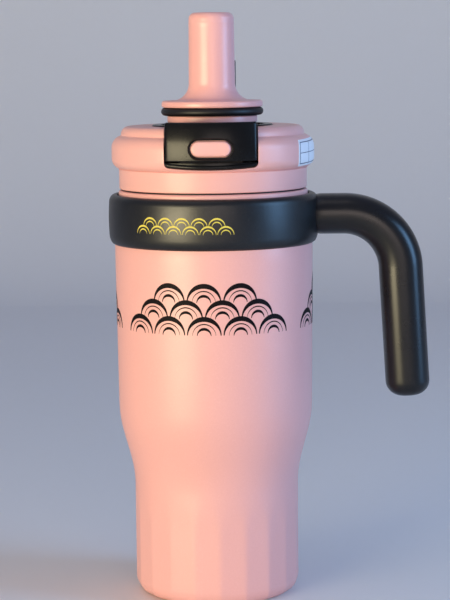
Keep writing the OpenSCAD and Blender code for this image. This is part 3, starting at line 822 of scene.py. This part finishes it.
def build_carry_loop():
    """An upright loop of oval section on a round knuckle."""
    half, top, low, y0 = LOOP_HIGH[0] - 0.05, LOOP_HIGH[2] - 0.05, 208.2, LOOP_Y
    outer = filleted([(half, top, 1.6), (-half, top, 1.6), (-half, low, 0.4), (half, low, 0.4)], 8)
    rings = []
    for depth, inset in [(-1.95, 0.7), (-1.75, 0.3), (-1.3, 0.0), (1.3, 0.0), (1.75, 0.3), (1.95, 0.7)]:
        rings.append([(x * (1 - inset / half), y0 + depth, z + inset * (220 - z) / 12) for x, z in outer])
    bow = loft("loop_bow", rings)
    rings = []
    for depth, grow in [(-2.2, 0.8), (-1.95, 0.7), (-1.7, 0.3), (-1.3, 0.0), (1.3, 0.0), (1.7, 0.3), (1.95, 0.7),
                        (2.2, 0.8)]:
        gap = filleted([(7 + grow, 227.5 + grow, 2.5), (-7 - grow, 227.5 + grow, 2.5),
                        (-7 - grow, 211.5 - grow, 2.5), (7 + grow, 211.5 - grow, 2.5)], 8)
        rings.append([(x, y0 + depth, z) for x, z in gap])
    cut(bow, loft("gap_cutter", rings))
    bar = block("loop_bar", (-half, y0 - 1.95, 206.0), (half, y0 + 1.95, 209.4), 0.6)
    ring = filleted([(1.32, -half, 0), (2.85, -half, 0.4), (2.85, half, 0.4), (1.32, half, 0)], 4)
    knuckle = lathe("loop_knuckle", ring, 48)
    turn = Matrix.Translation(Vector((0, y0, 206.7)) * MM) @ Matrix.Rotation(math.pi / 2, 4, "Y")
    knuckle.data.transform(turn)
    pin_hole = lathe("pin_cutter", [(0, -12), (1.33, -12), (1.33, 12), (0, 12)], 32)
    pin_hole.data.transform(turn)
    cut(bar, pin_hole)
    loop = merge("carry_bow", [bow, bar, knuckle])
    return finish_piece(loop, INSERT_BLACK, "carry_loop", "insert_black", "carry_loop")


def build_liner():
    """The threaded cup with the guide tube, the straw's socket and the vent's hole."""
    outline = filleted([
        (4.6, 147, 0.4), (6.5, 147, 0.5), (6.5, 160, 1.2), (35.6, 160, 1.4), (35.6, 177.6, 0.2), (38.5, 177.6, 0.3),
        (38.5, 179.6, 0.3), (33.9, 179.6, 0.3), (33.9, 162, 1), (10.9, 162, 0.6), (10.9, 188.5, 0.4),
        (9.35, 188.5, 0.4), (9.35, 162, 0.1), (3.9, 162, 0.1), (3.9, 160, 0.1), (4.6, 159.3, 0.1)], 5)
    cup = lathe("liner_cup", outline, 160)
    hole = lathe("vent_cutter", [(0, -5), (2, -5), (2, 5), (0, 5)], 24)
    hole.data.transform(Matrix.Translation(Vector((22, 0, 161)) * MM))
    cut(cup, hole)
    lugs = thread_lugs("lid_lug", 35.4, 36.45, 165.6)
    return finish_piece(merge("lid_thread_cup", [cup] + lugs), LINER_BLACK, "lid", "liner_plastic", "lid_liner")


def build_straw():
    low, high = node_mm("straw")
    outline = filleted([(3.8, low[2], 0.3), (4.6, low[2], 0.3), (4.6, high[2], 0.3), (3.8, high[2], 0.3)], 4)
    return finish_piece(lathe("drinking_straw", outline, 48), STRAW_CLEAR, "straw", "straw_plastic", "straw")


def build_gasket():
    low, high = node_mm("mouth_gasket")
    outline = filleted([(37.9, low[2] + 0.02, 0.1), (39.6, low[2] + 0.02, 0.2), (39.6, high[2] - 0.02, 0.2),
                        (37.9, high[2] - 0.02, 0.1)], 3)
    ring = lathe("rim_gasket", outline, 160)
    return finish_piece(ring, SEAL_RUBBER, "gasket", "seal_rubber", "mouth_gasket")


def build_coil(name, node, centre, along, radius, wire, turns):
    """A wire spring along +Z or -Y, as long as its CAD node."""
    low, high = node_mm(node)
    axis = 2 if along == "z" else 1
    length = high[axis] - low[axis]
    steps, sides = 32, 10
    rings = []
    for i in range(turns * steps + 1):
        a = 2 * math.pi * i / steps
        h = wire / 2 + (length - wire) * i / (turns * steps)
        ring = []
        for k in range(sides):
            b = 2 * math.pi * k / sides
            q, up = radius + wire / 2 * math.cos(b), h + wire / 2 * math.sin(b)
            x, z = q * math.cos(a), q * math.sin(a)
            point = (x, z, up) if along == "z" else (x, -up, z)
            ring.append(tuple(c + d for c, d in zip(centre, point)))
        rings.append(ring)
    coil = loft(name, rings)
    finish_piece(coil, WIRE_STEEL, "lid", "spring_steel", node)
    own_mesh(coil)


def build_springs():
    build_coil("popup_coil", "popup_spring", (0, 0, 163.5), "z", 8, 1, 5)
    build_coil("button_coil", "button_spring", (0, -24.9, 196.1), "y", 2.4, 0.6, 6)


# ---------------------------------------------------------------- printed decoration and label

def wrapped(s, z, lift, radius_at):
    """A point printed on the wall: s is the distance round from the front, towards the handle."""
    r = radius_at(z) + lift
    a = s / radius_at(z)
    return (r * math.sin(a), -r * math.cos(a), z)


def stroke(name, line, radius_at, lift=0.07, depth=0.12):
    """A pen stroke on the wall: line is a list of (s, z, width)."""
    rings = []
    count = len(line)
    for i, (s, z, w) in enumerate(line):
        ax, az, _ = line[max(i - 1, 0)]
        bx, bz, _ = line[min(i + 1, count - 1)]
        norm = math.hypot(bx - ax, bz - az) or 1
        nx, nz = -(bz - az) / norm, (bx - ax) / norm
        left = (s + nx * w / 2, z + nz * w / 2)
        right = (s - nx * w / 2, z - nz * w / 2)
        rings.append([wrapped(*left, lift, radius_at), wrapped(s, z, lift, radius_at),
                      wrapped(*right, lift, radius_at), wrapped(*right, lift - depth, radius_at),
                      wrapped(s, z, lift - depth, radius_at), wrapped(*left, lift - depth, radius_at)])
    return loft(name, rings, sharp_deg=60)


def wave_block(first, count, base, radius, rows, strokes):
    """Rows of nested arcs like stylised waves; each row stands behind the one below and is one arc shorter.

    strokes lists (share of the radius, greatest width) for the arcs of one wave.
    """
    lines = []
    rise = 0.9 * radius
    before = []
    for row in range(rows):
        centres = [first + radius * (row + 1 + 2 * k) for k in range(count - row)]
        z0 = base + row * rise
        for s0 in centres:
            for share, wide in strokes:
                run = []
                for a in np.linspace(math.radians(2), math.radians(178), 64):
                    s, z = s0 + share * radius * math.cos(a), z0 + share * radius * math.sin(a)
                    if all(math.hypot(s - c, z - z0 + rise) > radius for c in before):
                        run.append((s, z, wide * (0.2 + 0.8 * math.sin(a) ** 1.6)))
                if len(run) > 4:
                    lines.append(run)
        before = centres
    return lines


def build_print():
    """A generic band of nested wave arcs in three blocks, with narrow gaps between them."""
    lines = []
    for first in (-126.5, -42.2, 44.0):
        lines += wave_block(first, 5, 118.4, 7.7, 3, ((0.92, 2.1), (0.64, 0.5), (0.38, 1.2)))
    parts = [stroke(f"print_stroke_{i}", line, wall_radius) for i, line in enumerate(lines)]
    return finish_piece(merge("printed_band", parts), PRINT_BLACK, "flask", "pink_coat")


def build_collar_mark():
    """A small generic ornament of the same arcs, in yellow."""
    lines = wave_block(-34.8, 6, 160.8, 3.7, 2, ((0.92, 0.75), (0.55, 0.5)))
    parts = [stroke(f"mark_stroke_{i}", line, collar_radius, 0.03) for i, line in enumerate(lines)]
    return finish_piece(merge("collar_ornament", parts), PRINT_YELLOW, "flask", "frame_black")


def label_radius(z):
    """The lid's bulge where the sticker lies."""
    high_r, low_r = BULGE_HIGH_EDGE, BULGE_LOW_EDGE
    over, under = max(z - BULGE_HIGH_Z, 0.0), max(BULGE_LOW_Z - z, 0.0)
    return BULGE_R - high_r + math.sqrt(high_r ** 2 - over ** 2) - (low_r - math.sqrt(low_r ** 2 - under ** 2))


def build_label():
    """A sticker with a plain printed frame and blank fields, on the handle side of the lid."""
    s0, s1 = math.radians(57) * BULGE_R, math.radians(92) * BULGE_R
    z0, z1, slope, line = 187.4, 198.6, 0.03, 0.4

    def patch(name, low_s, high_s, low_z, high_z, lift):
        s_list = np.linspace(low_s, high_s, max(2, int((high_s - low_s) / 0.8)))
        z_list = np.linspace(low_z, high_z, max(2, int((high_z - low_z) / 0.7)))
        rings = []
        for s in s_list:
            tilt = (s - s0) * slope
            top = [wrapped(s, z + tilt, lift, label_radius) for z in z_list]
            under = [wrapped(s, z + tilt, lift - 0.1, label_radius) for z in reversed(z_list)]
            rings.append(top + under)
        return loft(name, rings)

    finish_piece(patch("label_sheet", s0, s1, z0, z1, 0.10), LABEL_WHITE, "lid", "pink_plastic")
    left, right, low, high = s0 + 1.0, s1 - 1.0, z0 + 0.9, z1 - 0.9
    middle, split = (low + high) / 2, s0 + 9.5
    bars = [(left, right, low, low + line), (left, right, high - line, high), (left, left + line, low, high),
            (right - line, right, low, high), (left, right, middle - 0.15, middle + 0.15),
            (split, split + 0.3, low, high)]
    lines = [patch(f"frame_{i}", *bar, 0.13) for i, bar in enumerate(bars)]
    finish_piece(merge("label_frame_line", lines), LABEL_FRAME, "lid", "pink_plastic")


# ---------------------------------------------------------------- carried-over CAD nodes

CAD_FINISH = {
    "shell_bottom": INSIDE_STEEL, "vacuum_plug": SOLDER, "getter": GETTER, "collar_liner": SEAL_RUBBER,
    "lid_foam": FOAM, "valve_pin": WHITE_PART, "vent_valve": WHITE_SOFT,
    "stem_ring": SEAL_RUBBER, "latch_plate": INSERT_BLACK, "loop_pin": WIRE_STEEL,
}


def finish_cad_nodes():
    for name, material in CAD_FINISH.items():
        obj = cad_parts[name]
        if not obj.data.materials:
            obj.data.materials.append(material)
        for slot in obj.material_slots:
            slot.material = material


# ---------------------------------------------------------------- stage, light and camera

def open_from_behind(paint):
    """The stage's underside and the backdrop's rear let the view through."""
    tree = paint.node_tree
    output = next(n for n in tree.nodes if n.type == "OUTPUT_MATERIAL")
    front = output.inputs["Surface"].links[0].from_socket
    side = tree.nodes.new("ShaderNodeNewGeometry")
    clear = tree.nodes.new("ShaderNodeBsdfTransparent")
    mix = tree.nodes.new("ShaderNodeMixShader")
    tree.links.new(side.outputs["Backfacing"], mix.inputs[0])
    tree.links.new(front, mix.inputs[1])
    tree.links.new(clear.outputs[0], mix.inputs[2])
    tree.links.new(mix.outputs[0], output.inputs["Surface"])


def build_stage():
    """A pale seamless floor that curves up into a backdrop, open under the foot so that light reaches the base."""
    s = Surface("stage_paint", (0.82, 0.82, 0.81), 0.8)
    s.tint(s.ramp(s.noise(3, 3), 0.4, 0.7, 0, 0.12), (0.76, 0.76, 0.76))
    s.bump(s.noise(220, 2), 0.04, 0.2)
    paint = s.done()
    open_from_behind(paint)
    half, back, rise, bend, hole, level = 9000, 1500, 2600, 500, 27, -0.05
    edge = back - bend
    corners = [math.atan2(y, x) for y in (-half, edge) for x in (-half, half)]
    angles = sorted(corners + list(np.linspace(-math.pi, math.pi, 64, endpoint=False)))
    verts, faces = [], []
    for a in angles:
        c, d = math.cos(a), math.sin(a)
        reach = min(half / max(abs(c), 1e-6), (edge if d > 0 else half) / max(abs(d), 1e-6))
        verts += [(hole * c, hole * d, level), (reach * c, reach * d, level)]
    n = len(angles)
    faces += [(2 * i, 2 * i + 1, 2 * ((i + 1) % n) + 1, 2 * ((i + 1) % n)) for i in range(n)]
    curve = [(edge + bend * math.sin(a), bend + level - bend * math.cos(a))
             for a in np.linspace(0.1, math.pi / 2, 14)]
    profile = [(edge, level)] + curve + [(back, rise)]
    verts += [(x, y, z) for y, z in profile for x in (-half, half)]
    faces += [tuple(2 * n + 2 * i + k for k in (0, 1, 3, 2)) for i in range(len(profile) - 1)]
    floor = make_mesh("stage_floor", verts, faces, 80)
    if floor.data.polygons[0].normal.z < 0:
        floor.data.flip_normals()
    floor.data.materials.append(paint)


def area_light(name, at, size, power, colour):
    """A soft box that faces the middle of the bottle."""
    data = bpy.data.lights.new(name, "AREA")
    data.shape = "RECTANGLE"
    data.size, data.size_y = size[0] * MM, size[1] * MM
    data.energy = power
    data.color = colour
    obj = bpy.data.objects.new(name, data)
    bpy.context.collection.objects.link(obj)
    obj.location = Vector(at) * MM
    obj.rotation_euler = (Vector((0, 0, 120)) - Vector(at)).to_track_quat("-Z", "Y").to_euler()
    obj.visible_camera = False


def build_lights():
    area_light("key_warm", (-800, -1020, 130), (700, 260), 15.2, (1.0, 0.86, 0.54))
    area_light("front_soft", (150, -1500, 350), (700, 500), 3.3, (1.0, 0.83, 0.74))
    area_light("right_cool", (1050, -330, 420), (420, 700), 8.6, (0.28, 0.57, 1.0))
    area_light("top_soft", (-300, -200, 1250), (900, 900), 1.6, (1.0, 0.92, 0.86))
    world = bpy.data.worlds.new("studio")
    world.use_nodes = True
    sky = world.node_tree.nodes["Background"].inputs
    sky["Color"].default_value, sky["Strength"].default_value = (0.59, 0.66, 1.0, 1), 0.32
    bpy.context.scene.world = world
    bpy.context.scene.view_settings.view_transform = "Standard"


def build_camera():
    """The photograph's view: a long lens a little above the bottle's shoulder, with a slight roll.

    turn is the camera's place about the axis, side how far it then looks past the axis.
    """
    turn, side, pitch, roll = (math.radians(v) for v in (1.1, 0.30, 7.08, -0.67))
    distance, height = 870.0, 236.3
    data = bpy.data.cameras.new("camera")
    data.sensor_width = 36
    data.lens = 120.5
    data.clip_start, data.clip_end = 0.05, 50
    cam = bpy.data.objects.new("camera", data)
    bpy.context.collection.objects.link(cam)
    at = Vector((distance * math.sin(turn), -distance * math.cos(turn), height)) * MM
    look = Matrix.Rotation(turn - side, 4, "Z") @ Matrix.Rotation(math.pi / 2 - pitch, 4, "X")
    cam.matrix_world = Matrix.Translation(at) @ look @ Matrix.Rotation(roll, 4, "Z")
    bpy.context.scene.camera = cam


build_camera()
build_outer_shell()
build_inner_flask()
build_base_plate()
build_collar()
build_grip()
build_lid_shell()
build_lid_insert()
build_front_trim()
build_button()
build_mouthpiece()
build_plug_seal()
build_carry_loop()
build_liner()
build_straw()
build_gasket()
build_springs()
build_print()
build_collar_mark()
build_label()
finish_cad_nodes()
build_stage()
build_lights()
